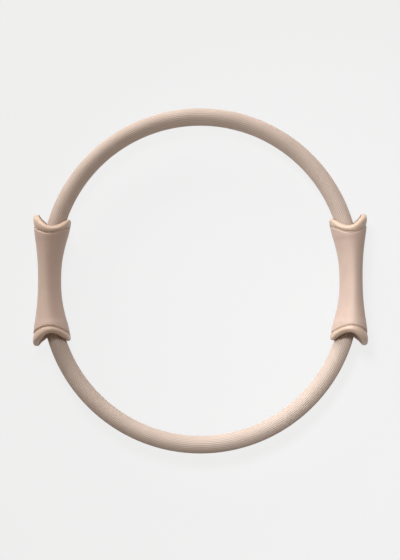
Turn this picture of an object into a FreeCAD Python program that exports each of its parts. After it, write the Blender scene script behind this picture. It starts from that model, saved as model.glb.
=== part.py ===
import FreeCAD, Part
import math
import os

import Sketcher
from FreeCAD import Placement, Rotation, Vector

# A pilates ring, lying flat: X runs from the left handle to the right one, Y along the handles,
# Z along the ring's axis. The origin is the ring's centre.
# A handle is drawn about its own centre: X points out of the ring, Y along the handle, Z into its depth.

# Driving sizes in millimetres
SIZES = {
    # hoop
    "hoop_radius": 165.25,
    "straight_half": 15,
    "sleeve_diameter": 19.2,
    "sleeve_bore": 14.4,
    "leaf_width": 13.6,
    "leaf_thickness": 1.3,
    "leaf_gap": 0.1,
    "leaf_butt_gap": 0.6,
    # coupler between the ends of the upper and lower leaves
    "coupler_width": 13.4,
    "coupler_depth": 21,
    "coupler_round": 2,
    "coupler_end_gap": 0.3,
    "leaf_clearance": 0.3,
    "rivet_diameter": 3.2,
    "rivet_clearance": 0.3,
    "rivet_place": 7.5,
    "rivet_head_diameter": 6,
    "rivet_crown_diameter": 3.6,
    "rivet_head_height": 1.1,
    # saddle form of the handle: half widths outside and inside the hoop, half depths, places along it
    "outer_waist": 12.7,
    "inner_waist": 11.8,
    "waist_depth": 24,
    "quarter_place": 28,
    "shoulder_place": 54,
    "outer_shoulder": 17,
    "inner_shoulder": 20.7,
    "shoulder_depth": 29.4,
    "tip_place": 78,
    "outer_tip": 17.6,
    "inner_tip": 22,
    "tip_depth": 30.4,
    # scooped ends of the shells and of the covers: reach outside and inside the hoop, and at the dips
    "lip_outer_reach": 72.6,
    "lip_inner_reach": 66.6,
    "lip_dip_reach": 58,
    "cover_outer_reach": 59.4,
    "cover_inner_reach": 58.2,
    "cover_dip_reach": 50,
    "groove_width": 1.8,
    "groove_depth": 0.9,
    "trim_margin": 0.6,
    "lip_round": 2.2,
    "lip_inside_round": 1.5,
    "roll_round": 0.6,
    "cover_round": 0.85,
    # walls
    "cover_thickness": 1.4,
    "shell_wall": 1.9,
    "lip_wall": 2.8,
    "sleeve_clearance": 0.3,
    "coupler_fit": 0.2,
    "rib_thickness": 2,
    "sleeve_rib_place": 38,
    "coupler_rib_place": 12,
    # screws that clamp the two shells
    "screw_along": 22,
    "screw_depth": 15.5,
    "screw_diameter": 3,
    "screw_fit": 0.15,
    "screw_head_diameter": 5.4,
    "screw_head_height": 2,
    "screw_seat": 4.8,
    "screw_reach": 6.8,
    "screw_tip_room": 0.4,
    "boss_diameter": 7.4,
    "hex_key": 2.5,
    "hex_depth": 1.2,
}

# Sizes worked out from the driving ones
FORMULAS = {
    "sleeve_radius": "=sleeve_diameter / 2",
    "bore_radius": "=sleeve_bore / 2",
    "coupler_length": "=2 * (straight_half - coupler_end_gap)",
    "slot_width": "=2 * leaf_thickness + leaf_gap + 2 * leaf_clearance",
    "slot_depth": "=leaf_width + 2 * leaf_clearance",
    "rivet_hole": "=rivet_diameter / 2 + rivet_clearance",
    "quarter_share": "=(quarter_place / shoulder_place)^2",
    "outer_quarter": "=outer_waist + (outer_shoulder - outer_waist) * quarter_share",
    "inner_quarter": "=inner_waist + (inner_shoulder - inner_waist) * quarter_share",
    "quarter_depth": "=waist_depth + (shoulder_depth - waist_depth) * quarter_share",
    "trim_depth": "=tip_depth + trim_margin",
    "trim_reach": "=tip_place + trim_depth",
    "lip_tilt": "=(lip_outer_reach - lip_inner_reach) / (outer_tip + inner_tip)",
    "lip_crest": "=lip_outer_reach - lip_tilt * outer_tip",
    "cover_tilt": "=(cover_outer_reach - cover_inner_reach) / (outer_shoulder + inner_shoulder)",
    "cover_crest": "=cover_outer_reach - cover_tilt * outer_shoulder",
    "groove_tilt": "=cover_tilt",
    "groove_crest": "=cover_crest + groove_width",
    "groove_dip_reach": "=cover_dip_reach + groove_width",
    "screw_hole": "=screw_diameter / 2 + screw_fit",
    "screw_head_room": "=screw_head_diameter / 2 + screw_fit",
}

# Depth of each layer below the handle's outside
LAYERS = {
    "cover": "0",
    "floor": "sizes.groove_depth",
    "shell": "sizes.cover_thickness",
    "hollow": "sizes.cover_thickness + sizes.shell_wall",
    "mouth": "sizes.cover_thickness + sizes.lip_wall",
}

# Which way each half of a handle faces
HALVES = {"outer": 1, "inner": -1}

# Turns that lay a shape's own X and Y along two of the model's axes
ACROSS_HANDLE = Rotation(Vector(0, 0, 1), Vector(1, 0, 0), Vector(0, 1, 0), "ZXY")
SIDE_OF_HANDLE = Rotation(Vector(0, 1, 0), Vector(0, 0, 1), Vector(1, 0, 0), "ZXY")
HALF_TURN = Rotation(Vector(0, 0, 1), 180)

# Share of an edge's direction along the handle that makes it a lengthwise edge
LENGTHWISE = 0.9

# How near an edge lies to a scooped end, and how many of its points are looked at
ON_END = 0.01
SAMPLES = 9

doc = FreeCAD.newDocument("pilates_ring")
sheet = doc.addObject("Spreadsheet::Sheet", "sizes")


def fill_sheet():
    """Every size as a named cell, and the worked-out ones as formulas."""
    cells = {**SIZES, **FORMULAS}
    for row, (alias, value) in enumerate(cells.items(), start=1):
        sheet.set(f"A{row}", alias)
        sheet.set(f"B{row}", str(value))
        sheet.setAlias(f"B{row}", alias)
    doc.recompute()


def size(alias):
    return float(sheet.get(alias))


def bind(thing, expressions):
    for name, expression in expressions.items():
        thing.setExpression(name, expression)
    return thing


def add(kind, name, expressions=None, **settings):
    """A document object with its fixed settings and its sizes bound to the sheet."""
    thing = doc.addObject(kind, name)
    for key, value in settings.items():
        setattr(thing, key, value)
    return bind(thing, expressions or {})


def common(name, base, tool):
    return add("Part::Common", name, Base=base, Tool=tool)


def cut(name, base, tool):
    return add("Part::Cut", name, Base=base, Tool=tool)


def fuse(name, shapes):
    return add("Part::MultiFuse", name, Shapes=shapes)


def body(name):
    return doc.addObject("PartDesign::Body", name)


def sketch_on(owner, name, role):
    """A sketch on one of a body's own origin planes."""
    sketch = owner.newObject("Sketcher::SketchObject", name)
    plane = next(f for f in owner.Origin.OriginFeatures if f.Role == role)
    sketch.AttachmentSupport = [(plane, "")]
    sketch.MapMode = "FlatFace"
    return sketch


def dimension(sketch, expression, kind, *places):
    """A dimension of a sketch, bound to the sheet."""
    index = sketch.addConstraint(Sketcher.Constraint(kind, *places))
    sketch.setExpression(f"Constraints[{index}]", expression)


def tie(sketch, *rules):
    sketch.addConstraint([Sketcher.Constraint(*rule) for rule in rules])


def add_circle(sketch, x, radius):
    """A circle centred on the sketch's X axis."""
    circle = sketch.addGeometry(Part.Circle(Vector(1, 0, 0), Vector(0, 0, 1), 1))
    tie(sketch, ("PointOnObject", circle, 3, -1))
    dimension(sketch, x, "DistanceX", -1, 1, circle, 3, 1)
    dimension(sketch, radius, "Radius", circle, 1)


def add_rectangle(sketch, width, height):
    """A rectangle centred on the sketch's origin."""
    corners = [Vector(-1, -1, 0), Vector(1, -1, 0), Vector(1, 1, 0), Vector(-1, 1, 0)]
    low, right, high, left = [
        sketch.addGeometry(Part.LineSegment(corners[i], corners[(i + 1) % 4])) for i in range(4)
    ]
    for first, second in ((low, right), (right, high), (high, left), (left, low)):
        tie(sketch, ("Coincident", first, 2, second, 1))
    tie(sketch, ("Horizontal", low), ("Horizontal", high), ("Vertical", right), ("Vertical", left))
    tie(sketch, ("Symmetric", low, 1, high, 1, -1, 1))
    dimension(sketch, width, "DistanceX", low, 1, low, 2, 2)
    dimension(sketch, height, "DistanceY", right, 1, right, 2, 2)


def add_arch(sketch, inside, outside, foot):
    """A half hoop with straight legs: two arcs about the bend's centre, and legs down to the foot line."""
    rise, low = size("straight_half"), 0.0
    small, large = size("hoop_radius") - 1, size("hoop_radius") + 1
    centre = Vector(0, rise, 0)

    def arc(radius):
        circle = Part.Circle(centre, Vector(0, 0, 1), radius)
        return sketch.addGeometry(Part.ArcOfCircle(circle, 0, math.pi))

    def line(x1, y1, x2, y2):
        return sketch.addGeometry(Part.LineSegment(Vector(x1, y1, 0), Vector(x2, y2, 0)))

    outer, inner = arc(large), arc(small)
    tie(sketch, ("PointOnObject", outer, 3, -2), ("Coincident", inner, 3, outer, 3))
    dimension(sketch, "sizes.straight_half", "DistanceY", -1, 1, outer, 3, rise)
    dimension(sketch, outside, "Radius", outer, large)
    dimension(sketch, inside, "Radius", inner, small)
    feet = []
    for side, end in ((1, 1), (-1, 2)):
        outer_leg = line(side * large, rise, side * large, low)
        sole = line(side * large, low, side * small, low)
        inner_leg = line(side * small, low, side * small, rise)
        tie(
            sketch,
            ("Coincident", outer, end, outer_leg, 1),
            ("Coincident", outer_leg, 2, sole, 1),
            ("Coincident", sole, 2, inner_leg, 1),
            ("Coincident", inner_leg, 2, inner, end),
            ("Vertical", outer_leg),
            ("Vertical", inner_leg),
            ("Horizontal", sole),
            ("Horizontal", outer, 3, outer, end),
            ("Horizontal", inner, 3, inner, end),
        )
        feet.append(sole)
    tie(sketch, ("Horizontal", feet[0], 1, feet[1], 1))
    dimension(sketch, foot, "DistanceY", -1, 1, feet[0], 1, low)


def add_sleeve():
    """Upper ribbed sleeve, a half hoop of rubber tube."""
    sleeve = bind(body("upper_sleeve"), {"Placement.Base.y": "sizes.straight_half"})
    section = sketch_on(sleeve, "sleeve_section", "XZ_Plane")
    add_circle(section, "sizes.hoop_radius", "sizes.sleeve_radius")
    add_circle(section, "sizes.hoop_radius", "sizes.bore_radius")
    bend = sleeve.newObject("PartDesign::Revolution", "sleeve_bend")
    bend.Profile = section
    bend.ReferenceAxis = (section, ["V_Axis"])
    bend.Angle = 180
    return sleeve


def add_leaf(name, inside, outside):
    """One spring leaf of the upper half hoop, with a rivet hole near each end."""
    leaf = body(name)
    outline = sketch_on(leaf, f"{name}_outline", "XY_Plane")
    add_arch(outline, inside, outside, "sizes.leaf_butt_gap / 2")
    strip = leaf.newObject("PartDesign::Pad", f"{name}_strip")
    strip.Profile = outline
    strip.SideType = "Symmetric"
    strip.setExpression("Length", "sizes.leaf_width")
    holes = sketch_on(leaf, f"{name}_hole", "YZ_Plane")
    add_circle(holes, "sizes.rivet_place", "sizes.rivet_hole")
    bore = leaf.newObject("PartDesign::Pocket", f"{name}_bore")
    bore.Profile = holes
    bore.Type = "ThroughAll"
    bore.SideType = "Symmetric"
    return leaf


def add_coupler():
    """Block that holds the butting leaf ends, slotted along its length and drilled for two rivets."""
    coupler = bind(body("right_coupler"), {"Placement.Base.x": "sizes.hoop_radius"})
    outline = sketch_on(coupler, "coupler_outline", "XZ_Plane")
    add_rectangle(outline, "sizes.coupler_width", "sizes.coupler_depth")
    block = coupler.newObject("PartDesign::Pad", "coupler_block")
    block.Profile = outline
    block.SideType = "Symmetric"
    block.setExpression("Length", "sizes.coupler_length")
    doc.recompute()
    long_edges = [
        f"Edge{i}"
        for i, edge in enumerate(block.Shape.Edges, start=1)
        if abs(edge.tangentAt(edge.FirstParameter).y) > LENGTHWISE
    ]
    rounded = coupler.newObject("PartDesign::Fillet", "coupler_rounding")
    rounded.Base = (block, long_edges)
    rounded.setExpression("Radius", "sizes.coupler_round")
    slot_outline = sketch_on(coupler, "coupler_slot_outline", "XZ_Plane")
    add_rectangle(slot_outline, "sizes.slot_width", "sizes.slot_depth")
    slot = coupler.newObject("PartDesign::Pocket", "coupler_slot")
    slot.Profile = slot_outline
    slot.Type = "ThroughAll"
    slot.SideType = "Symmetric"
    holes = sketch_on(coupler, "coupler_holes", "YZ_Plane")
    add_circle(holes, "sizes.rivet_place", "sizes.rivet_hole")
    bore = coupler.newObject("PartDesign::Pocket", "coupler_bore")
    bore.Profile = holes
    bore.Type = "ThroughAll"
    bore.SideType = "Symmetric"
    doc.recompute()
    twin = coupler.newObject("PartDesign::Mirrored", "coupler_twin_bore")
    twin.Originals = [bore]
    twin.MirrorPlane = (holes, ["V_Axis"])
    coupler.Tip = twin
    return coupler


def along_x(x, y, z):
    """Expressions that place a cylinder, already turned along X, at a point of the handle."""
    return {"Placement.Base.x": x, "Placement.Base.y": y, "Placement.Base.z": z}


def rod(name, radius, start, length, y, z):
    """A round rod along the handle's X axis."""
    sizes = {"Radius": radius, "Height": length, **along_x(start, y, z)}
    return add("Part::Cylinder", name, sizes, Placement=Placement(Vector(), SIDE_OF_HANDLE))


def add_rivets():
    """Two rivets through the coupler and the leaf ends, with a tapered head on each side."""
    face = "sizes.coupler_width / 2"
    rivets = []
    for end, sign in (("upper", "1"), ("lower", "-1")):
        place = f"{sign} * sizes.rivet_place"
        shank = rod(
            f"rivet_shank_{end}", "sizes.rivet_diameter / 2", f"-({face})", "sizes.coupler_width", place, "0"
        )
        heads = []
        for half, way in HALVES.items():
            head = add(
                "Part::Cone",
                f"rivet_head_{end}_{half}",
                {
                    "Radius1": "sizes.rivet_head_diameter / 2",
                    "Radius2": "sizes.rivet_crown_diameter / 2",
                    "Height": "sizes.rivet_head_height",
                    **along_x(f"{way} * {face}", place, "0"),
                },
                Placement=Placement(Vector(), Rotation(Vector(0, 1, 0), 90 * way)),
            )
            heads.append(head)
        rivets.append(fuse(f"rivet_{end}", [shank, *heads]))
    group = add("Part::Compound", "right_rivets", Links=rivets)
    return bind(group, {"Placement.Base.x": "sizes.hoop_radius"})


def screw_places():
    """The four screws' places along and across a handle, as expressions."""
    return [
        (f"{along} * sizes.screw_along", f"{across} * sizes.screw_depth")
        for along in (-1, 1)
        for across in (-1, 1)
    ]


def add_screws():
    """Four screws driven outwards from the inner shell, with a hex socket in the head."""
    screws = []
    seat = "-sizes.screw_seat"
    top = "-sizes.screw_seat - sizes.screw_head_height"
    for number, (y, z) in enumerate(screw_places(), start=1):
        shank = rod(
            f"screw_shank_{number}",
            "sizes.screw_diameter / 2",
            seat,
            "sizes.screw_seat + sizes.screw_reach",
            y,
            z,
        )
        head = rod(
            f"screw_head_{number}", "sizes.screw_head_diameter / 2", top, "sizes.screw_head_height", y, z
        )
        socket = add(
            "Part::Prism",
            f"screw_socket_{number}",
            {
                "Circumradius": "sizes.hex_key / sqrt(3)",
                "Height": "sizes.hex_depth",
                **along_x(top, y, z),
            },
            Polygon=6,
            Placement=Placement(Vector(), SIDE_OF_HANDLE),
        )
        whole = fuse(f"screw_solid_{number}", [shank, head])
        screws.append(cut(f"screw_{number}", whole, socket))
    group = add("Part::Compound", "right_shell_screws", Links=screws)
    return bind(group, {"Placement.Base.x": "sizes.hoop_radius"})


def saddle(layer):
    """Loft through ellipses along the handle: narrow at the waist, flared to the shoulders and tips."""
    inset = LAYERS[layer]
    flares = ["quarter", "shoulder", "tip"]
    stations = [(name, f"-sizes.{name}_place") for name in reversed(flares)]
    stations += [("waist", "0")]
    stations += [(name, f"sizes.{name}_place") for name in flares]
    rings = []
    for number, (station, place) in enumerate(stations, start=1):
        outer, inner = f"sizes.outer_{station}", f"sizes.inner_{station}"
        ring = add(
            "Part::Ellipse",
            f"{layer}_ring_{number}",
            {
                "MajorRadius": f"sizes.{station}_depth - ({inset})",
                "MinorRadius": f"({outer} + {inner}) / 2 - ({inset})",
                "Placement.Base.x": f"({outer} - {inner}) / 2",
                "Placement.Base.y": place,
            },
            Placement=Placement(Vector(), ACROSS_HANDLE),
        )
        rings.append(ring)
    return add("Part::Loft", f"{layer}_saddle", Sections=rings, Solid=True, Ruled=False)


def scoop(curve):
    """Centre and radius of a scooped end's arc, which runs from dip to dip over the crest."""
    rise = size(f"{curve}_crest") - size(f"{curve}_dip_reach")
    radius = (size("trim_depth") ** 2 + rise**2) / (2 * rise)
    return size(f"{curve}_crest") - radius, radius


def beyond_ends(curve):
    """What lies beyond both scooped ends: a block under an arc, drawn out along the end's tilt."""
    middle, radius = scoop(curve)
    depth, dip, far = size("trim_depth"), size(f"{curve}_dip_reach"), size("trim_reach")
    spread = math.atan2(depth, dip - middle)
    sketch = doc.addObject("Sketcher::SketchObject", f"{curve}_outline")
    sketch.Placement = Placement(Vector(), SIDE_OF_HANDLE)

    def line(x1, y1, x2, y2):
        return sketch.addGeometry(Part.LineSegment(Vector(x1, y1, 0), Vector(x2, y2, 0)))

    circle = Part.Circle(Vector(middle, 0, 0), Vector(0, 0, 1), radius)
    arc = sketch.addGeometry(Part.ArcOfCircle(circle, -spread, spread))
    high = line(dip, depth, far, depth)
    back = line(far, depth, far, -depth)
    low = line(far, -depth, dip, -depth)
    tie(
        sketch,
        ("Coincident", arc, 2, high, 1),
        ("Coincident", high, 2, back, 1),
        ("Coincident", back, 2, low, 1),
        ("Coincident", low, 2, arc, 1),
        ("Horizontal", high),
        ("Symmetric", arc, 1, arc, 2, -1),
        ("Symmetric", back, 1, back, 2, -1),
    )
    rise = f"(sizes.{curve}_crest - sizes.{curve}_dip_reach)"
    dimension(sketch, f"sizes.{curve}_dip_reach", "DistanceX", -1, 1, high, 1, dip)
    dimension(sketch, "sizes.trim_reach", "DistanceX", -1, 1, high, 2, far)
    dimension(sketch, "sizes.trim_depth", "DistanceY", -1, 1, high, 1, depth)
    dimension(sketch, f"(sizes.trim_depth^2 + {rise}^2) / (2 * {rise})", "Radius", arc, radius)
    upper = add(
        "Part::Extrusion",
        f"{curve}_upper_end",
        {"LengthFwd": "sizes.trim_depth", "LengthRev": "sizes.trim_depth", "Dir.y": f"sizes.{curve}_tilt"},
        Base=sketch,
        DirMode="Custom",
        Dir=Vector(1, 0, 0),
        Solid=True,
    )
    lower = add("Part::Mirroring", f"{curve}_lower_end", Source=upper, Normal=Vector(0, 1, 0))
    return fuse(f"{curve}_ends", [upper, lower])


def edges_on_ends(shape, curve):
    """Numbers of the edges round a pair of scooped ends: those inside the wall, and those outside it."""
    middle, radius = scoop(curve)
    tilt = size(f"{curve}_tilt")

    def off_end(point):
        return abs(math.hypot(abs(point.y) - tilt * point.x - middle, point.z) - radius)

    found = []
    for number, edge in enumerate(shape.Edges, start=1):
        points = edge.discretize(SAMPLES)
        if max(off_end(p) for p in points) < ON_END:
            found.append((max(abs(p.z) for p in points), number))
    outside = max(found)[0] - size("groove_depth") / 2
    return (
        [number for reach, number in found if reach < outside],
        [number for reach, number in found if reach >= outside],
    )


def rounded(name, base, rounds):
    """A fillet on numbered edges. rounds pairs edge numbers with the name of their radius."""
    edges = [(number, size(radius), size(radius)) for numbers, radius in rounds for number in numbers]
    return add("Part::Fillet", name, Base=base, Edges=edges)


def ribs_and_bosses():
    """What stands inside the shells: ribs that cradle the sleeves and the coupler, and the screw bosses."""
    span = "2 * sizes.trim_depth"
    solids = []
    for seat in ("sleeve", "coupler"):
        for end, way in (("upper", "1"), ("lower", "-1")):
            slab = add(
                "Part::Box",
                f"{seat}_rib_{end}",
                {
                    "Length": span,
                    "Width": "sizes.rib_thickness",
                    "Height": span,
                    "Placement.Base.x": "-sizes.trim_depth",
                    "Placement.Base.y": f"{way} * sizes.{seat}_rib_place - sizes.rib_thickness / 2",
                    "Placement.Base.z": "-sizes.trim_depth",
                },
            )
            solids.append(slab)
    for number, (y, z) in enumerate(screw_places(), start=1):
        solids.append(rod(f"boss_{number}", "sizes.boss_diameter / 2", "-sizes.trim_depth", span, y, z))
    return fuse("ribs_and_bosses", solids)


def shell_clearances():
    """Room inside the shells for the two sleeves, the coupler and the screws."""
    solids = []
    for end, turn, way in (("upper", Rotation(), "1"), ("lower", HALF_TURN, "-1")):
        room = add(
            "Part::Torus",
            f"sleeve_room_{end}",
            {
                "Radius1": "sizes.hoop_radius",
                "Radius2": "sizes.sleeve_radius + sizes.sleeve_clearance",
                "Placement.Base.x": "-sizes.hoop_radius",
                "Placement.Base.y": f"{way} * sizes.straight_half",
            },
            Angle3=180,
            Placement=Placement(Vector(), turn),
        )
        solids.append(room)
    block = add(
        "Part::Box",
        "coupler_room",
        {
            "Length": "sizes.coupler_width + 2 * sizes.coupler_fit",
            "Width": "2 * sizes.straight_half",
            "Height": "sizes.coupler_depth + 2 * sizes.coupler_fit",
            "Placement.Base.x": "-sizes.coupler_width / 2 - sizes.coupler_fit",
            "Placement.Base.y": "-sizes.straight_half",
            "Placement.Base.z": "-sizes.coupler_depth / 2 - sizes.coupler_fit",
        },
    )
    solids.append(block)
    for number, (y, z) in enumerate(screw_places(), start=1):
        depth = "sizes.screw_seat + sizes.screw_reach + sizes.screw_tip_room"
        solids.append(rod(f"screw_room_{number}", "sizes.screw_hole", "-sizes.screw_seat", depth, y, z))
        head_length = "sizes.trim_depth - sizes.screw_seat"
        solids.append(
            rod(f"screw_head_room_{number}", "sizes.screw_head_room", "-sizes.trim_depth", head_length, y, z)
        )
    return fuse("shell_clearances", solids)


def add_casing(inside, clearances):
    """Shell with a rolled lip at each end, and the soft cover that stops at a groove short of the lips."""
    cover_form, floor_form, shell_form, hollow_form, mouth_form = (saddle(layer) for layer in LAYERS)
    past_lip, past_groove, past_cover = (beyond_ends(curve) for curve in ("lip", "groove", "cover"))

    rolls = common("rolls", cut("roll_blank", cover_form, past_lip), past_groove)
    floors = common("groove_floors", cut("floor_blank", floor_form, past_lip), past_cover)
    blank = fuse("shell_blank", [cut("shell_body", shell_form, past_lip), floors, rolls])
    lining = cut("lip_lining", past_groove, mouth_form)
    room = cut("hollow", cut("hollow_between_ribs", hollow_form, inside), lining)
    walls = cut("shell_walls", blank, room)
    doc.recompute()
    lip_inside, lip_outside = edges_on_ends(walls.Shape, "lip")
    _, roll_outside = edges_on_ends(walls.Shape, "groove")
    rounds = [(lip_inside, "lip_inside_round"), (lip_outside, "lip_round"), (roll_outside, "roll_round")]
    shell = cut("shell", rounded("shell_lips", walls, rounds), clearances)

    skin = cut("skin", cut("skin_blank", cover_form, past_cover), shell_form)
    doc.recompute()
    _, step = edges_on_ends(skin.Shape, "cover")
    cover = rounded("cover", skin, [(step, "cover_round")])
    return shell, cover


def add_casing_halves(shell, cover):
    """The shell and the cover, each parted along the plane of the hoop's tube."""
    pieces = []
    for half, way in HALVES.items():
        side = add(
            "Part::Box",
            f"{half}_side",
            {
                "Length": "sizes.trim_depth",
                "Width": "2 * sizes.trim_reach",
                "Height": "2 * sizes.trim_depth",
                "Placement.Base.x": "0" if way > 0 else "-sizes.trim_depth",
                "Placement.Base.y": "-sizes.trim_reach",
                "Placement.Base.z": "-sizes.trim_depth",
            },
        )
        for layer, whole in (("shell", shell), ("cover", cover)):
            piece = common(f"right_{half}_{layer}", whole, side)
            pieces.append(bind(piece, {"Placement.Base.x": "sizes.hoop_radius"}))
    return pieces


def mirrored(piece, old, new, normal):
    """The opposite twin of a piece."""
    name = piece.Name.replace(old, new)
    return add("Part::Mirroring", name, Source=piece, Normal=normal)


def add_hoop():
    middle, half_gap, thickness = "sizes.hoop_radius", "sizes.leaf_gap / 2", "sizes.leaf_thickness"
    upper = [
        add_sleeve(),
        add_leaf("upper_outer_leaf", f"{middle} + {half_gap}", f"{middle} + {half_gap} + {thickness}"),
        add_leaf("upper_inner_leaf", f"{middle} - {half_gap} - {thickness}", f"{middle} - {half_gap}"),
    ]
    return upper + [mirrored(piece, "upper", "lower", Vector(0, 1, 0)) for piece in upper]


def add_handles():
    inside, clearances = ribs_and_bosses(), shell_clearances()
    right = [add_coupler(), add_rivets(), add_screws()]
    right += add_casing_halves(*add_casing(inside, clearances))
    return right + [mirrored(piece, "right", "left", Vector(1, 0, 0)) for piece in right]


def check(pieces):
    """Stops the build if any object failed, or any piece has no sound solid."""
    failed = [o.Name for o in doc.Objects if "Invalid" in o.State or "Error" in o.State]
    if failed:
        raise RuntimeError(f"these objects failed: {failed}")
    for piece in pieces:
        shape = piece.Shape
        if shape.isNull() or not shape.isValid() or not shape.Solids:
            raise RuntimeError(f"{piece.Label} has no sound solid")


def main():
    fill_sheet()
    pieces = add_hoop() + add_handles()
    doc.recompute()
    check(pieces)
    os.makedirs("parts", exist_ok=True)
    for piece in pieces:
        piece.Label = piece.Name
        piece.Shape.exportStep(f"parts/{piece.Label}.step")
        box = piece.Shape.BoundBox
        print(
            f"{piece.Label}: {len(piece.Shape.Solids)} solids, {piece.Shape.Volume:.0f} mm3, "
            f"x {box.XMin:.2f} {box.XMax:.2f}, y {box.YMin:.2f} {box.YMax:.2f}, "
            f"z {box.ZMin:.2f} {box.ZMax:.2f}"
        )


main()
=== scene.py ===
"""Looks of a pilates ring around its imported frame: ribbed sleeves, covered handles, a pale stage."""

import math

import bmesh
import bpy
import numpy as np
from bpy.props import FloatProperty, FloatVectorProperty, IntProperty, PointerProperty
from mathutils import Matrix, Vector


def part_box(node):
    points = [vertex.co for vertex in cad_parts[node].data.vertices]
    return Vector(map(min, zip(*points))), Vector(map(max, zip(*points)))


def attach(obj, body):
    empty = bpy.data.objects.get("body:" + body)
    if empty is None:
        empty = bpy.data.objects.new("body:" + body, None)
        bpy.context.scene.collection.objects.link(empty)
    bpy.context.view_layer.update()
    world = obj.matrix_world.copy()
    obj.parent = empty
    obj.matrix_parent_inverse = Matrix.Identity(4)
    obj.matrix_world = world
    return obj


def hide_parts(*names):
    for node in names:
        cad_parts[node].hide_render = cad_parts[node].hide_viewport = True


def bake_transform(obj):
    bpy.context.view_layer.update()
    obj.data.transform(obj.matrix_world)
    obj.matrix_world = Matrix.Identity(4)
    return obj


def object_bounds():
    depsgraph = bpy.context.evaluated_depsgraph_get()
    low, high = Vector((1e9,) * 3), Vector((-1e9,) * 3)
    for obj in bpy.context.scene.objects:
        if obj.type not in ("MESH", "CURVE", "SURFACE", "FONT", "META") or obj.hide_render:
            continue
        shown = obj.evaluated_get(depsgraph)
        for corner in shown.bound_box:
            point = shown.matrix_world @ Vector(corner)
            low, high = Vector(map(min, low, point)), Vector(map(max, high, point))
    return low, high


bl_info = {
    "name": "Pilates ring",
    "version": (1, 0, 0),
    "blender": (4, 5, 0),
    "location": "View3D > Sidebar > Ring",
    "description": "Dresses a pilates ring: ribbed sleeves, spring leaves, handles and a pale stage",
    "category": "Object",
}

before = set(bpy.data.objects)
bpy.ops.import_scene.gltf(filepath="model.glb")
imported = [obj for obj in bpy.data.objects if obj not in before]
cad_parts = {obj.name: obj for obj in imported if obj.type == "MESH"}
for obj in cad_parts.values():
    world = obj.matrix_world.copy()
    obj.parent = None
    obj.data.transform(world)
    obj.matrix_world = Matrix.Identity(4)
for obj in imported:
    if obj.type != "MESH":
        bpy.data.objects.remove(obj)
cad_low, cad_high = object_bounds()
sleeve_low, sleeve_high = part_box("upper_sleeve")

HOOP_BODY = "left_handle_and_hoop"
FAR_BODY = "right_handle"
HALVES = {"upper": 1.0, "lower": -1.0}
SIDES = {"left": HOOP_BODY, "right": FAR_BODY}
LAYERS = ("outer", "inner")

# Vertices closer than this are one point
WELD = 1e-6

# Faces that meet at more than this angle keep a crisp edge between them
CRISP_ANGLE = math.radians(40)

# Range that noise mostly stays in, which the finishes spread out
NOISE_RANGE = (0.3, 0.7)

# Height of the grain on moulded pieces and on metal ones
MOULDED_GRAIN = 0.0002
METAL_GRAIN = 0.0001

# Share of a rib's height above which none of the painted shade in the grooves shows
GROOVE_SHADE_TOP = 0.6

# Distance from one fine grip line on the covers to the next, and its height against the grain's
GRIP_PITCH = 0.0022
GRIP_HEIGHT = 0.5

# Sockets of a Mix node: factor, the two numbers or colours, and the results
MIX_FACTOR = 0
MIX_NUMBERS, MIX_NUMBER_OUT = (2, 3), 0
MIX_COLOURS, MIX_COLOUR_OUT = (6, 7), 2

# Scooped ends of the handles: reach at the crest and at the dips, and lean per distance from the hoop
LIP_END = {"crest": 0.06993, "dip": 0.058, "lean": 0.1515}
GROOVE_END = {"crest": 0.06066, "dip": 0.0518, "lean": 0.0318}

# Half depth at which the ends' dips are measured
DIP_DEPTH = 0.031

# Edges of a handle's ends longer than this are cut in half before they are shaped, this many times over
FINE_EDGE = 0.0012
CUTTING_ROUNDS = 3

# Where the shaping of the ends starts and is whole, along a handle
SHAPING = (0.0405, 0.05)

# The lip's bead fades out past the groove, with the rim at 0 and the groove at 1,
# and where the wall faces the ring's centre, with 1 for squarely
BEAD_END = (1.0, 1.2)
BEAD_FACING = (0.9, 0.98)

# The lip's swell starts this far inside the outer wall, and fades out as the bead does
SWELL_INSET = (0.0015, 0.0035)
SWELL_END = (0.2, 1.1)
SWELL_FACING = (0.5, 0.9)

# The scoop turns level between these shares of the handle's depth
LEVELLING = (0.3, 0.9)

# Tint of the light from all round, a little warm because some of it comes back off the object
ROUND_TINT = (1.03, 0.85, 0.69)

# Soft boxes, of which the front one is a little cool
RIM_LAMP = {
    "place": (-0.54, 1.16, 0.3),
    "target": (0.0, 0.0, 0.0),
    "size": (1.6, 0.6),
    "beam": math.radians(90),
    "tint": (1.0, 1.0, 1.0),
}
FRONT_LAMP = {
    "place": (-0.09, 0.3, 0.79),
    "target": (0.24, -0.22, 0.0),
    "size": (0.2, 0.2),
    "beam": math.radians(70),
    "tint": (0.99, 1.05, 1.11),
}


# Sizes and colours that a user would change


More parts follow.
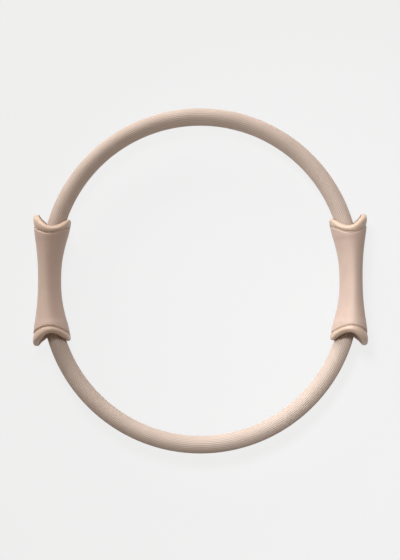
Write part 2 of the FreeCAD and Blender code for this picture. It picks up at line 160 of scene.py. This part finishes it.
class RingSleeveSizes(bpy.types.PropertyGroup):
    """Sizes of the ribbed rubber sleeves and of the way they bend."""

    straight_half: FloatProperty(
        name="Straight half",
        description="Distance from the middle of a handle to the end of each sleeve",
        default=sleeve_low.y,
        unit="LENGTH",
    )
    outer_radius: FloatProperty(
        name="Outer radius",
        description="Radius of the sleeve over its ribs",
        default=sleeve_high.z,
        unit="LENGTH",
    )
    bend_radius: FloatProperty(
        name="Bend radius",
        description="Radius of the hoop at the middle of the sleeve",
        default=sleeve_high.x - sleeve_high.z,
        unit="LENGTH",
    )
    bore_radius: FloatProperty(
        name="Bore radius",
        description="Radius of the hole that the spring leaves lie in",
        default=0.0072,
        unit="LENGTH",
    )
    rib_count: IntProperty(
        name="Ribs",
        description="Number of ribs round the sleeve",
        default=30,
        min=3,
    )
    rib_samples: IntProperty(
        name="Rib samples",
        description="Number of points across one rib",
        default=8,
        min=2,
    )
    rib_depth: FloatProperty(
        name="Rib depth",
        description="Depth of the grooves between the ribs",
        default=0.0002,
        unit="LENGTH",
    )
    steps_along: IntProperty(
        name="Steps along",
        description="Number of rings of faces along one sleeve",
        default=150,
        min=8,
    )
    grip_reach: FloatProperty(
        name="Grip reach",
        description="Distance from the ring's centre past which the hoop moves with a handle",
        default=0.135,
        unit="LENGTH",
    )


class RingLipSizes(bpy.types.PropertyGroup):
    """Sizes of the rolled lips at the handles' ends."""

    scoop: FloatProperty(
        name="Scoop",
        description="How much deeper the ends are scooped at the front and back",
        default=0.0022,
        unit="LENGTH",
    )
    crest_round: FloatProperty(
        name="Crest round",
        description="Share of the handle's depth over which the scoop is rounded at its crests",
        default=0.08,
        subtype="FACTOR",
    )
    rim_fall: FloatProperty(
        name="Rim fall",
        description="How far the lip falls away from its crown to its rim",
        default=0.0012,
        unit="LENGTH",
    )
    groove_fall: FloatProperty(
        name="Groove fall",
        description="How far the lip falls away from its crown to the groove",
        default=0.0007,
        unit="LENGTH",
    )
    rim_swell: FloatProperty(
        name="Rim swell",
        description="Extra thickness of the lip on its inside, away from the sleeve",
        default=0.0012,
        unit="LENGTH",
    )
    crown_place: FloatProperty(
        name="Crown place",
        description="Where the lip's crown lies between its rim and the groove",
        default=0.5,
        subtype="FACTOR",
    )


def colour_property(name, description, default):
    return FloatVectorProperty(
        name=name, description=description, default=default, size=3, min=0, max=1, subtype="COLOR"
    )


class RingColours(bpy.types.PropertyGroup):
    """Base colours of the finishes."""

    sleeve: colour_property("Sleeve", "Matte rubber of the hoop", (0.635, 0.506, 0.425))
    # The groove colour is painted shade: it darkens the rubber at the bottom of the grooves between the
    # ribs
    groove: colour_property("Groove", "Rubber at the bottom of the grooves", (0.450, 0.345, 0.280))
    cover: colour_property("Cover", "Soft rubber of the handle covers", (0.590, 0.435, 0.355))
    shell: colour_property("Shell", "Satin plastic of the handle shells", (0.620, 0.455, 0.345))
    nylon: colour_property("Nylon", "Moulded coupler blocks", (0.050, 0.050, 0.050))
    spring: colour_property("Spring", "Tempered leaves", (0.350, 0.360, 0.380))
    zinc: colour_property("Zinc", "Plated rivets and screws", (0.550, 0.550, 0.560))
    backdrop: colour_property("Backdrop", "Floor and background", (0.900, 0.900, 0.900))


class RingStageSizes(bpy.types.PropertyGroup):
    """Camera, floor and lamps."""

    camera_height: FloatProperty(
        name="Camera height",
        description="Height of the camera above the ring's middle plane",
        default=1.1,
        unit="LENGTH",
    )
    camera_lens: FloatProperty(
        name="Lens",
        description="Focal length of the camera on a 36 mm sensor",
        default=64.35,
        unit="CAMERA",
    )
    camera_offset: FloatVectorProperty(
        name="Camera offset",
        description="Place beside the ring's centre that the camera looks at",
        default=(-0.00045, -0.0002),
        size=2,
        subtype="TRANSLATION",
    )
    camera_tilt: FloatProperty(
        name="Tilt",
        description="How far the camera looks up the ring from below its middle",
        default=math.radians(2.2),
        unit="ROTATION",
    )
    camera_roll: FloatProperty(
        name="Roll",
        description="Turn of the camera about its line of sight",
        default=math.radians(-0.15),
        unit="ROTATION",
    )
    floor_span: FloatProperty(
        name="Floor span",
        description="Length of each side of the floor",
        default=8.0,
        unit="LENGTH",
    )
    shadow_share: FloatProperty(
        name="Shadow share",
        description="How much of the lamps' light and shade the floor shows",
        default=0.1,
        min=0,
        max=1,
        subtype="FACTOR",
    )
    ambient: FloatProperty(
        name="Ambient",
        description="Strength of the even light from all round",
        default=0.2,
        min=0,
    )
    rim_power: FloatProperty(
        name="Rim power",
        description="Power of the low lamp beyond the upper left",
        default=6.6,
        unit="POWER",
    )
    front_power: FloatProperty(
        name="Front power",
        description="Power of the soft box above that points at the lower right",
        default=1.0,
        unit="POWER",
    )


# Helpers for node trees


def add_node(tree, kind, inputs=(), **settings):
    """A node with its settings, and its inputs set to values or linked to other nodes' outputs."""
    node = tree.nodes.new(kind)
    for key, value in settings.items():
        setattr(node, key, value)
    for key, value in dict(inputs).items():
        socket = node.inputs[key]
        if isinstance(value, bpy.types.NodeSocket):
            tree.links.new(value, socket)
        else:
            socket.default_value = value
    return node


def maths(tree, operation, *values):
    """The result of a Math node."""
    return add_node(tree, "ShaderNodeMath", enumerate(values), operation=operation).outputs[0]


def switched(tree, switch, off, on):
    """One of two numbers, by a switch that is 0 or 1."""
    inputs = {MIX_FACTOR: switch, **dict(zip(MIX_NUMBERS, (off, on)))}
    return add_node(tree, "ShaderNodeMix", inputs, data_type="FLOAT").outputs[MIX_NUMBER_OUT]


def mixed(tree, factor, first, second, blend="MIX"):
    """Two colours, mixed by a factor."""
    inputs = {MIX_FACTOR: factor, **dict(zip(MIX_COLOURS, (first, second)))}
    mix = add_node(tree, "ShaderNodeMix", inputs, data_type="RGBA", blend_type=blend)
    return mix.outputs[MIX_COLOUR_OUT]


def opaque(colour):
    return (*colour, 1.0)


def add_inputs(tree, kinds):
    """Named inputs on a node group, and the sockets that they feed."""
    for name, kind in kinds.items():
        tree.interface.new_socket(name, in_out="INPUT", socket_type=kind)
    return tree.nodes.new("NodeGroupInput").outputs


# Finishes


def new_material(name):
    """A material with its Principled shader and its object coordinates."""
    material = bpy.data.materials.new(name)
    material.use_nodes = True
    tree = material.node_tree
    shader = tree.nodes["Principled BSDF"]
    place = tree.nodes.new("ShaderNodeTexCoord").outputs["Object"]
    return material, tree, shader, place


def noise(tree, place, scale, detail=3.0, stretch=None):
    """Noise at a scale per metre, drawn out along an axis where a stretch is given."""
    if stretch:
        place = add_node(tree, "ShaderNodeMapping", {"Vector": place, "Scale": stretch}).outputs[0]
    return add_node(
        tree, "ShaderNodeTexNoise", {"Vector": place, "Scale": scale, "Detail": detail}
    ).outputs["Fac"]


def spread(tree, value, low, high):
    """Noise about its middle, spread between two values."""
    noise_low, noise_high = NOISE_RANGE
    return add_node(
        tree,
        "ShaderNodeMapRange",
        {"Value": value, "From Min": noise_low, "From Max": noise_high, "To Min": low, "To Max": high},
    ).outputs["Result"]


def tinted(tree, colour, factor):
    """A colour made lighter or darker by a factor."""
    return mixed(tree, 1.0, opaque(colour), factor, blend="MULTIPLY")


def paint(tree, shader, colour, roughness):
    tree.links.new(colour, shader.inputs["Base Color"])
    tree.links.new(roughness, shader.inputs["Roughness"])


def add_bump(tree, shader, height, strength, distance):
    bump = add_node(
        tree, "ShaderNodeBump", {"Height": height, "Strength": strength, "Distance": distance}
    )
    tree.links.new(bump.outputs["Normal"], shader.inputs["Normal"])


def sleeve_rubber(colours):
    """Matte rubber: painted shade darkens the grooves between the ribs; faintly clouded, with a dusty
    bloom.
    """
    material, tree, shader, place = new_material("sleeve_rubber")
    rib = add_node(tree, "ShaderNodeAttribute", attribute_name="rib_height").outputs["Fac"]
    # Painted shade: the groove colour fills the low parts of the ribs and fades out towards their crests
    crest = add_node(
        tree, "ShaderNodeMapRange", {"Value": rib, "From Min": 0.0, "From Max": GROOVE_SHADE_TOP}
    ).outputs["Result"]
    clouds = spread(tree, noise(tree, place, scale=45.0), low=0.95, high=1.05)
    colour = mixed(tree, crest, opaque(colours.groove), tinted(tree, colours.sleeve, clouds))
    roughness = spread(tree, noise(tree, place, scale=220.0), low=0.56, high=0.70)
    paint(tree, shader, colour, roughness)
    grain = noise(tree, place, scale=2600.0)
    add_bump(tree, shader, grain, strength=0.12, distance=MOULDED_GRAIN)
    shader.inputs["Specular IOR Level"].default_value = 0.4
    shader.inputs["Sheen Weight"].default_value = 0.08
    return material


def cover_rubber(colours):
    """Soft-touch rubber: fine grip lines across the handle, a fine grain, faint clouds of colour."""
    material, tree, shader, place = new_material("cover_rubber")
    clouds = spread(tree, noise(tree, place, scale=38.0), low=0.96, high=1.04)
    roughness = spread(tree, noise(tree, place, scale=160.0), low=0.52, high=0.66)
    paint(tree, shader, tinted(tree, colours.cover, clouds), roughness)
    along = add_node(tree, "ShaderNodeSeparateXYZ", {"Vector": place}).outputs["Y"]
    lines = maths(tree, "SINE", maths(tree, "MULTIPLY", along, 2 * math.pi / GRIP_PITCH))
    grain = noise(tree, place, scale=3200.0, detail=2.0)
    height = maths(tree, "MULTIPLY_ADD", lines, GRIP_HEIGHT, grain)
    add_bump(tree, shader, height, strength=0.2, distance=MOULDED_GRAIN)
    shader.inputs["Specular IOR Level"].default_value = 0.4
    shader.inputs["Sheen Weight"].default_value = 0.06
    return material


def shell_plastic(colours):
    """Satin moulded plastic: a little glossier, with faint flow marks along the handle, fine scuffs."""
    material, tree, shader, place = new_material("shell_plastic")
    flow = spread(tree, noise(tree, place, scale=60.0, stretch=(1.0, 0.25, 1.0)), low=0.96, high=1.04)
    scuffs = noise(tree, place, scale=420.0, stretch=(1.0, 0.15, 1.0))
    paint(tree, shader, tinted(tree, colours.shell, flow), spread(tree, scuffs, low=0.36, high=0.50))
    grain = noise(tree, place, scale=1800.0)
    add_bump(tree, shader, grain, strength=0.06, distance=MOULDED_GRAIN)
    return material


def coupler_nylon(colours):
    """Black glass-filled nylon with a spark-eroded surface."""
    material, tree, shader, place = new_material("coupler_nylon")
    mottle = spread(tree, noise(tree, place, scale=300.0), low=0.7, high=1.4)
    roughness = spread(tree, noise(tree, place, scale=900.0), low=0.45, high=0.7)
    paint(tree, shader, tinted(tree, colours.nylon, mottle), roughness)
    grain = noise(tree, place, scale=2000.0)
    add_bump(tree, shader, grain, strength=0.3, distance=MOULDED_GRAIN)
    return material


def spring_steel(colours):
    """Tempered steel, ground along the leaf, with a faint bluing."""
    material, tree, shader, place = new_material("spring_steel")
    grain = noise(tree, place, scale=900.0, stretch=(0.02, 0.02, 1.0))
    colour = tinted(tree, colours.spring, spread(tree, grain, low=0.8, high=1.15))
    paint(tree, shader, colour, spread(tree, grain, low=0.25, high=0.42))
    add_bump(tree, shader, grain, strength=0.08, distance=METAL_GRAIN)
    shader.inputs["Metallic"].default_value = 1.0
    return material


def fastener_steel(colours):
    """Zinc plate: a fine crystalline bloom over bright metal."""
    material, tree, shader, place = new_material("fastener_steel")
    bloom = noise(tree, place, scale=1500.0)
    colour = tinted(tree, colours.zinc, spread(tree, bloom, low=0.85, high=1.1))
    paint(tree, shader, colour, spread(tree, bloom, low=0.22, high=0.4))
    add_bump(tree, shader, bloom, strength=0.05, distance=METAL_GRAIN)
    shader.inputs["Metallic"].default_value = 1.0
    return material


def dress(nodes, material):
    """Gives a finish to CAD nodes."""
    for name in nodes:
        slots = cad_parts[name].material_slots
        if not slots:
            raise RuntimeError(f"{name} has no material slot to dress")
        for slot in slots:
            slot.material = material


# Ribbed sleeves


def ribbed_sleeve_tree():
    """A tube with a round bore and ribs along its outside, bent round half the hoop.

    A grid is wrapped twice: its columns go round the tube, and its rows run along the outside, over one
    end, back through the bore and over the other end, so that the welded grid is a closed wall.
    """
    tree = bpy.data.node_groups.new("Ribbed sleeve", "GeometryNodeTree")
    tree.interface.new_socket("Sleeve", in_out="OUTPUT", socket_type="NodeSocketGeometry")
    sizes = add_inputs(
        tree,
        {
            "Half": "NodeSocketFloat",
            "Straight Half": "NodeSocketFloat",
            "Bend Radius": "NodeSocketFloat",
            "Outer Radius": "NodeSocketFloat",
            "Bore Radius": "NodeSocketFloat",
            "Rib Count": "NodeSocketInt",
            "Rib Samples": "NodeSocketInt",
            "Rib Depth": "NodeSocketFloat",
            "Steps Along": "NodeSocketInt",
            "Weld": "NodeSocketFloat",
            "Rubber": "NodeSocketMaterial",
        },
    )

    def m(operation, *values):
        return maths(tree, operation, *values)

    columns = m("MULTIPLY", sizes["Rib Count"], sizes["Rib Samples"])
    lap = m("ADD", sizes["Steps Along"], 1.0)
    rows = m("MULTIPLY", lap, 2.0)
    grid = add_node(
        tree,
        "GeometryNodeMeshGrid",
        {
            "Size X": columns,
            "Size Y": rows,
            "Vertices X": m("ADD", columns, 1.0),
            "Vertices Y": m("ADD", rows, 1.0),
        },
    )
    position = tree.nodes.new("GeometryNodeInputPosition").outputs[0]
    spot = add_node(tree, "ShaderNodeSeparateXYZ", {"Vector": position}).outputs
    column = m("ROUND", m("ADD", spot["X"], m("DIVIDE", columns, 2.0)))
    row = m("FLOORED_MODULO", m("ROUND", m("ADD", spot["Y"], lap)), rows)

    # outside on the way out, bore on the way back
    outside = m("LESS_THAN", row, m("SUBTRACT", lap, 0.5))
    way_back = m("SUBTRACT", m("SUBTRACT", rows, 1.0), row)
    step = switched(tree, outside, way_back, row)
    bend = m("MULTIPLY", m("DIVIDE", step, sizes["Steps Along"]), math.pi)

    # rounded ribs with rounded grooves between them
    around = m("MULTIPLY", m("DIVIDE", column, columns), 2 * math.pi)
    wave = m("COSINE", m("MULTIPLY", around, sizes["Rib Count"]))
    rib = m("MULTIPLY_ADD", wave, 0.5, 0.5)
    groove = m("MULTIPLY", m("SUBTRACT", 1.0, rib), sizes["Rib Depth"])
    crest = m("SUBTRACT", sizes["Outer Radius"], groove)
    radius = switched(tree, outside, sizes["Bore Radius"], crest)

    reach = m("ADD", sizes["Bend Radius"], m("MULTIPLY", radius, m("COSINE", around)))
    x = m("MULTIPLY", reach, m("COSINE", bend))
    y = m("ADD", m("MULTIPLY", reach, m("SINE", bend)), sizes["Straight Half"])
    place = add_node(
        tree,
        "ShaderNodeCombineXYZ",
        {
            "X": m("MULTIPLY", x, sizes["Half"]),
            "Y": m("MULTIPLY", y, sizes["Half"]),
            "Z": m("MULTIPLY", radius, m("SINE", around)),
        },
    ).outputs[0]

    ribs = add_node(
        tree,
        "GeometryNodeStoreNamedAttribute",
        {"Geometry": grid.outputs["Mesh"], "Name": "rib_height", "Value": rib},
        data_type="FLOAT",
        domain="POINT",
    )
    wrapped = add_node(
        tree, "GeometryNodeSetPosition", {"Geometry": ribs.outputs[0], "Position": place}
    )
    welded = add_node(
        tree, "GeometryNodeMergeByDistance", {"Geometry": wrapped.outputs[0], "Distance": sizes["Weld"]}
    )
    smooth = add_node(tree, "GeometryNodeSetShadeSmooth", {"Geometry": welded.outputs[0]})
    solid = add_node(tree, "GeometryNodeRealizeInstances", {"Geometry": smooth.outputs[0]})
    dressed = add_node(
        tree, "GeometryNodeSetMaterial", {"Geometry": solid.outputs[0], "Material": sizes["Rubber"]}
    )
    add_node(tree, "NodeGroupOutput", {0: dressed.outputs[0]})
    return tree


def grown(name, tree, values):
    """The plain mesh object that a node tree grows from its named inputs."""
    piece = bpy.data.objects.new(name, bpy.data.meshes.new(f"{name}_seed"))
    bpy.context.scene.collection.objects.link(piece)
    modifier = piece.modifiers.new(tree.name, "NODES")
    modifier.node_group = tree
    for item in tree.interface.items_tree:
        if item.in_out == "INPUT":
            modifier[item.identifier] = values[item.name]
    depsgraph = bpy.context.evaluated_depsgraph_get()
    mesh = bpy.data.meshes.new_from_object(piece.evaluated_get(depsgraph))
    if not mesh.polygons:
        raise RuntimeError(f"{name} came out empty")
    piece.modifiers.remove(modifier)
    piece.data = mesh
    mesh.name = name
    mesh.set_sharp_from_angle(angle=CRISP_ANGLE)
    return piece


def bend_with_hoop(piece):
    """Bakes the piece's place into its mesh."""
    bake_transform(piece)


class RING_OT_sleeves(bpy.types.Operator):
    """Grow the two ribbed sleeves of the hoop"""

    bl_idname = "ring.sleeves"
    bl_label = "Ribbed sleeves"

    def execute(self, context):
        sizes = context.scene.ring_sleeve
        tree = ribbed_sleeve_tree()
        rubber = sleeve_rubber(context.scene.ring_colours)
        for half, sign in HALVES.items():
            piece = grown(
                f"{half}_ribbed_sleeve",
                tree,
                {
                    "Half": sign,
                    "Straight Half": sizes.straight_half,
                    "Bend Radius": sizes.bend_radius,
                    "Outer Radius": sizes.outer_radius,
                    "Bore Radius": sizes.bore_radius,
                    "Rib Count": sizes.rib_count,
                    "Rib Samples": sizes.rib_samples,
                    "Rib Depth": sizes.rib_depth,
                    "Steps Along": sizes.steps_along,
                    "Weld": WELD,
                    "Rubber": rubber,
                },
            )
            bend_with_hoop(piece)
            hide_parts(f"{half}_sleeve")
        return {"FINISHED"}


# Spring leaves


def merged_copy(node, name):
    """A copy of a CAD node's mesh with its loose triangles joined, as a new piece."""
    mesh = bpy.data.meshes.new(name)
    joined = bmesh.new()
    joined.from_mesh(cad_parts[node].data)
    bmesh.ops.remove_doubles(joined, verts=joined.verts, dist=WELD)
    for face in joined.faces:
        face.smooth = True
    joined.to_mesh(mesh)
    joined.free()
    mesh.set_sharp_from_angle(angle=CRISP_ANGLE)
    piece = bpy.data.objects.new(name, mesh)
    bpy.context.scene.collection.objects.link(piece)
    return piece


class RING_OT_leaves(bpy.types.Operator):
    """Make the spring leaves"""

    bl_idname = "ring.leaves"
    bl_label = "Spring leaves"

    def execute(self, context):
        steel = spring_steel(context.scene.ring_colours)
        for half in HALVES:
            for layer in LAYERS:
                node = f"{half}_{layer}_leaf"
                piece = merged_copy(node, f"{half}_{layer}_spring_leaf")
                piece.data.materials.append(steel)
                bend_with_hoop(piece)
                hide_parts(node)
        return {"FINISHED"}


# Handles


def handle_nodes(*parts):
    return [f"{side}_{part}" for side in SIDES for part in parts]


def cut_long_edges(mesh):
    """Divides the long edges of a handle piece's ends, so that the ends can be shaped."""
    fine = bmesh.new()
    fine.from_mesh(mesh)
    start, _ = SHAPING
    for _ in range(CUTTING_ROUNDS):
        long = [
            edge
            for edge in fine.edges
            if edge.calc_length() > FINE_EDGE and max(abs(end.co.y) for end in edge.verts) > start
        ]
        bmesh.ops.subdivide_edges(fine, edges=long, cuts=1)

        # the short diagonal keeps thin faces from folding onto each other
        quads = [face for face in fine.faces if len(face.verts) > 3]
        bmesh.ops.triangulate(fine, faces=quads, quad_method="SHORT_EDGE")
    fine.to_mesh(mesh)
    fine.free()


def eased(value, start, end):
    """0 before the start, 1 past the end, with a smooth rise between them."""
    share = np.clip((value - start) / (end - start), 0, 1)
    return share * share * (3 - 2 * share)


def faded(value, start, end):
    """1 before the start, 0 past the end, with a smooth fall between them."""
    return 1 - eased(value, start, end)


def end_reach(end, out, depth):
    """How far along the handle a scooped end reaches, at a distance out from the hoop and at a depth."""
    rise = end["crest"] - end["dip"]
    radius = (DIP_DEPTH**2 + rise**2) / (2 * rise)
    return end["crest"] - radius + np.sqrt(radius**2 - depth**2) + end["lean"] * out


def shape_ends(mesh, side, sizes):
    """Scoops a handle piece's ends deeper and rolls its lips into beads."""
    points = np.empty(3 * len(mesh.vertices))
    mesh.vertices.foreach_get("co", points)
    x, y, z = points.reshape(-1, 3).T
    outer_low, outer_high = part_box("right_outer_shell")
    inner_low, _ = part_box("right_inner_shell")
    way = 1 if side == "right" else -1
    out = way * x - outer_low.x
    along = np.abs(y)
    depth = np.abs(z)

    # direction from the middle of the handle to its wall
    middle = (outer_high.x + inner_low.x) / 2 - outer_low.x
    width = (outer_high.x - inner_low.x) / 2
    tall = outer_high.z
    lean_x = (out - middle) / width**2
    lean_z = z / tall**2
    length = np.hypot(lean_x, lean_z)
    lean_x, lean_z = lean_x / length, lean_z / length

    # a bead between rim and groove, left as it is where the sleeve passes close by
    lip = end_reach(LIP_END, out, depth)
    groove = end_reach(GROOVE_END, out, depth)
    place = (lip - along) / (lip - groove)
    crown = sizes.crown_place
    to_rim = np.clip(1 - place / crown, 0, 1)
    to_groove = np.clip((place - crown) / (1 - crown), 0, 1)
    fall = sizes.rim_fall * to_rim**2
    fall += sizes.groove_fall * to_groove**2 * faded(place, *BEAD_END)
    fall *= faded(-lean_x, *BEAD_FACING)

    # the lip's inside swells
    inset = tall * (1 - np.hypot((out - middle) / width, z / tall))
    inside = eased(inset, *SWELL_INSET) * faded(place, *SWELL_END)
    fall += sizes.rim_swell * inside * faded(-lean_x, *SWELL_FACING)
    out = out - fall * lean_x
    z = z - fall * lean_z

    # deeper scoop, rounded at the crests and level across the dips
    share = np.hypot(np.clip(depth / tall, 0, 1), sizes.crest_round) - sizes.crest_round
    scoop = sizes.scoop * (1 - (1 - share) ** 3)
    lean = LIP_END["lean"] + (GROOVE_END["lean"] - LIP_END["lean"]) * np.clip(place, 0, 1)
    scoop -= lean * (out - middle) * eased(share, *LEVELLING)
    along = along - scoop * eased(along, *SHAPING)

    moved = np.stack([way * (out + outer_low.x), np.copysign(along, y), z], axis=1)
    mesh.vertices.foreach_set("co", moved.ravel())
    mesh.update()


def add_handle_pieces(part, look, finish, sizes):
    """Makes both halves of a handle part on both handles, with shaped ends."""
    for side, body in SIDES.items():
        for layer in LAYERS:
            node = f"{side}_{layer}_{part}"
            piece = merged_copy(node, f"{side}_{layer}_{look}")
            cut_long_edges(piece.data)
            shape_ends(piece.data, side, sizes)
            piece.data.materials.append(finish)
            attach(piece, body)
            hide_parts(node)


class RING_OT_covers(bpy.types.Operator):
    """Make the soft covers of both handles"""

    bl_idname = "ring.covers"
    bl_label = "Soft covers"

    def execute(self, context):
        rubber = cover_rubber(context.scene.ring_colours)
        add_handle_pieces("cover", "soft_cover", rubber, context.scene.ring_lip)
        return {"FINISHED"}


class RING_OT_shells(bpy.types.Operator):
    """Make the shells of both handles, with rolled lips"""

    bl_idname = "ring.shells"
    bl_label = "Lipped shells"

    def execute(self, context):
        plastic = shell_plastic(context.scene.ring_colours)
        add_handle_pieces("shell", "lipped_shell", plastic, context.scene.ring_lip)
        return {"FINISHED"}


class RING_OT_couplers(bpy.types.Operator):
    """Finish the couplers, rivets and screws inside both handles"""

    bl_idname = "ring.couplers"
    bl_label = "Couplers and fasteners"

    def execute(self, context):
        colours = context.scene.ring_colours
        dress(handle_nodes("coupler"), coupler_nylon(colours))
        dress(handle_nodes("rivets", "shell_screws"), fastener_steel(colours))
        return {"FINISHED"}


# Stage


def seen_directly(tree):
    """1 for rays from the camera, a mirror or glass, 0 for rays that carry light."""
    rays = tree.nodes.new("ShaderNodeLightPath").outputs
    mirrored = maths(tree, "MAXIMUM", rays["Is Glossy Ray"], rays["Is Transmission Ray"])
    return maths(tree, "MAXIMUM", rays["Is Camera Ray"], mirrored)


def floor_paint(colour, shadow_share):
    """Pale paint that shows an even backdrop with a share of the light and shade that falls on it."""
    material = bpy.data.materials.new("floor_paint")
    material.use_nodes = True
    tree = material.node_tree
    tree.nodes.clear()
    lit = add_node(tree, "ShaderNodeBsdfDiffuse", {"Color": opaque(colour)}).outputs[0]
    even = add_node(tree, "ShaderNodeEmission", {"Color": opaque(colour)}).outputs[0]
    evenness = maths(tree, "MULTIPLY", seen_directly(tree), 1.0 - shadow_share)
    surface = add_node(tree, "ShaderNodeMixShader", {0: evenness, 1: lit, 2: even}).outputs[0]
    add_node(tree, "ShaderNodeOutputMaterial", {"Surface": surface})
    return material


def add_floor(stage, colour):
    """A flat floor under the handles' lips."""
    half = stage.floor_span / 2
    corners = [(-half, -half), (half, -half), (half, half), (-half, half)]
    mesh = bpy.data.meshes.new("floor")
    mesh.from_pydata([(x, y, cad_low.z) for x, y in corners], [], [(0, 1, 2, 3)])
    mesh.materials.append(floor_paint(colour, stage.shadow_share))
    floor = bpy.data.objects.new("floor", mesh)
    bpy.context.scene.collection.objects.link(floor)


def add_world(colour, strength):
    """Even light from all round, and a plain backdrop beyond the floor."""
    world = bpy.data.worlds.new("studio")
    world.use_nodes = True
    tree = world.node_tree
    tree.nodes.clear()
    glow = {"Color": opaque(ROUND_TINT), "Strength": strength}
    light = add_node(tree, "ShaderNodeBackground", glow).outputs[0]
    backdrop = add_node(tree, "ShaderNodeBackground", {"Color": opaque(colour)}).outputs[0]
    choice = {0: seen_directly(tree), 1: light, 2: backdrop}
    surface = add_node(tree, "ShaderNodeMixShader", choice).outputs[0]
    add_node(tree, "ShaderNodeOutputWorld", {"Surface": surface})
    bpy.context.scene.world = world


def add_lamp(name, power, place, target, size, beam, tint):
    """A soft box at a place, turned to a target, with its light held within a beam."""
    lamp = bpy.data.lights.new(name, "AREA")
    lamp.shape = "RECTANGLE"
    lamp.size, lamp.size_y = size
    lamp.energy = power
    lamp.spread = beam
    lamp.color = tint
    piece = bpy.data.objects.new(name, lamp)
    piece.location = place
    piece.rotation_euler = (Vector(target) - Vector(place)).to_track_quat("-Z", "Y").to_euler()
    piece.visible_camera = False
    bpy.context.scene.collection.objects.link(piece)


def add_camera(stage):
    """A camera almost straight above the ring."""
    camera = bpy.data.cameras.new("camera")
    camera.lens = stage.camera_lens
    piece = bpy.data.objects.new("camera", camera)
    across, along = stage.camera_offset
    back = stage.camera_height * math.tan(stage.camera_tilt)
    piece.location = (across, along - back, stage.camera_height)
    piece.rotation_euler = (stage.camera_tilt, 0, stage.camera_roll)
    bpy.context.scene.collection.objects.link(piece)
    bpy.context.scene.camera = piece


class RING_OT_stage(bpy.types.Operator):
    """Set up the floor, the lamps and the camera"""

    bl_idname = "ring.stage"
    bl_label = "Stage"

    def execute(self, context):
        scene = context.scene
        stage, backdrop = scene.ring_stage, scene.ring_colours.backdrop
        scene.view_settings.view_transform = "Standard"
        add_floor(stage, backdrop)
        add_world(backdrop, stage.ambient)
        add_lamp("rim_lamp", stage.rim_power, **RIM_LAMP)
        add_lamp("front_lamp", stage.front_power, **FRONT_LAMP)
        add_camera(stage)
        return {"FINISHED"}


# Panel and registration


OPERATORS = (
    RING_OT_sleeves,
    RING_OT_leaves,
    RING_OT_covers,
    RING_OT_shells,
    RING_OT_couplers,
    RING_OT_stage,
)

GROUPS = {
    "ring_sleeve": RingSleeveSizes,
    "ring_lip": RingLipSizes,
    "ring_colours": RingColours,
    "ring_stage": RingStageSizes,
}


class RING_PT_panel(bpy.types.Panel):
    """Lists the ring's pieces, sizes and colours"""

    bl_idname = "RING_PT_panel"
    bl_label = "Pilates ring"
    bl_space_type = "VIEW_3D"
    bl_region_type = "UI"
    bl_category = "Ring"

    def draw(self, context):
        for operator in OPERATORS:
            self.layout.operator(operator.bl_idname)
        for name, group in GROUPS.items():
            box = self.layout.box()
            for key in group.__annotations__:
                box.prop(getattr(context.scene, name), key)


CLASSES = (*GROUPS.values(), *OPERATORS, RING_PT_panel)


def register():
    for cls in CLASSES:
        bpy.utils.register_class(cls)
    for name, group in GROUPS.items():
        setattr(bpy.types.Scene, name, PointerProperty(type=group))


def unregister():
    for name in GROUPS:
        delattr(bpy.types.Scene, name)
    for cls in reversed(CLASSES):
        bpy.utils.unregister_class(cls)


def main():
    register()
    bpy.ops.ring.sleeves()
    bpy.ops.ring.leaves()
    bpy.ops.ring.covers()
    bpy.ops.ring.shells()
    bpy.ops.ring.couplers()
    bpy.ops.ring.stage()


if __name__ == "__main__":
    main()
